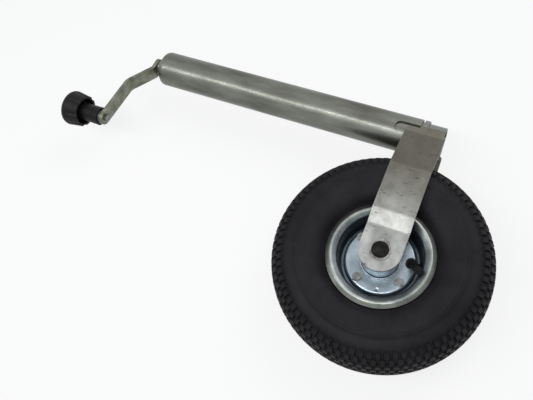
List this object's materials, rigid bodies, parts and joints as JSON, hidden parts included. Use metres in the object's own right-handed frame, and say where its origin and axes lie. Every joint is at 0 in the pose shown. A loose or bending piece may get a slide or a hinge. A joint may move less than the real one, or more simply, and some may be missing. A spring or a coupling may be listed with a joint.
{
  "type": "trailer jockey wheel",
  "caption": "Trailer jockey wheel: clamp tube with a cranked screw, swivelling inner tube, two-legged fork and a pneumatic tyre on a split steel rim.",
  "frame": {"origin": "on the axis of the outer tube, half-way along it, in the stretch that a trailer's clamp holds", "axes": "+X along the tube from the crank to the wheel's end, +Z along the wheel's axle, and the wheel at -Y; the jack lies on its side"},
  "size_m": [0.6181, 0.3285, 0.103],
  "materials": {
    "zinc_plate": "satin zinc plate, slightly stained",
    "galvanised_bar": "dull galvanised flat bar",
    "zinc_rim": "bluish zinc-plated pressed steel",
    "zinc_fastener": "zinc-plated steel",
    "steel": "oiled steel",
    "black_plastic": "matt moulded",
    "bronze": "plain",
    "tyre_rubber": "moulded tyre rubber",
    "soft_rubber": "matt rubber"
  },
  "bodies": {
    "outer": {"outer_tube": "zinc_plate", "neck_bush": "bronze", "thrust_race_upper": "steel", "thrust_balls": "steel", "thrust_race_lower": "steel"},
    "screw": {"spindle": "steel", "spindle_circlip": "zinc_fastener", "crank_arm": "zinc_plate", "grip_pin": "zinc_fastener", "grip_washer": "zinc_fastener"},
    "grip": {"grip": "black_plastic"},
    "nut": {"spindle_nut": "steel"},
    "fork": {"inner_tube": "zinc_plate", "nut_snap_ring": "steel", "nut_seat_ring": "steel", "swivel_collar": "galvanised_bar", "swivel_keys": "galvanised_bar", "fork_leg_front": "galvanised_bar", "fork_leg_rear": "galvanised_bar", "axle": "steel", "axle_circlips": "zinc_fastener", "axle_washers": "zinc_fastener"},
    "wheel": {"rim_half_front": "zinc_rim", "rim_half_rear": "zinc_rim", "rim_bolts": "zinc_fastener", "rim_washers": "zinc_fastener", "rim_nuts": "zinc_fastener", "hub_tube": "steel", "hub_rollers": "steel", "roller_cages": "black_plastic", "hub_seals": "soft_rubber", "tyre": "tyre_rubber", "air_tube": "soft_rubber", "valve_stem": "soft_rubber", "valve_core": "bronze"},
    "cap": {"valve_cap": "black_plastic"}
  },
  "joints": [
    {"name": "crank_turn", "type": "hinge", "parent": "outer", "child": "screw", "pos_m": [0, 0, 0], "axis": [1, 0, 0], "range_deg": [-20700, 225]},
    {"name": "inner_tube_lift", "type": "slide", "parent": "outer", "child": "nut", "axis": [-1, 0, 0], "range_m": [-0.2301, 0.00251]},
    {"name": "fork_swivel", "type": "hinge", "parent": "nut", "child": "fork", "pos_m": [0, 0, 0], "axis": [1, 0, 0], "continuous": true},
    {"name": "wheel_spin", "type": "hinge", "parent": "fork", "child": "wheel", "pos_m": [0.199, -0.1745, 0], "axis": [0, 0, 1], "continuous": true},
    {"name": "grip_spin", "type": "hinge", "parent": "screw", "child": "grip", "pos_m": [-0.26, -0.10918, 0.01341], "axis": [1, 0, 0], "continuous": true},
    {"name": "valve_cap_off", "type": "slide", "parent": "wheel", "child": "cap", "axis": [0.378, -0.452, 0.808], "range_m": [0, 0.012]}
  ],
  "couplings": [
    {"joint": "inner_tube_lift", "follows": "crank_turn", "m_per_rad": 0.00063662}
  ]
}
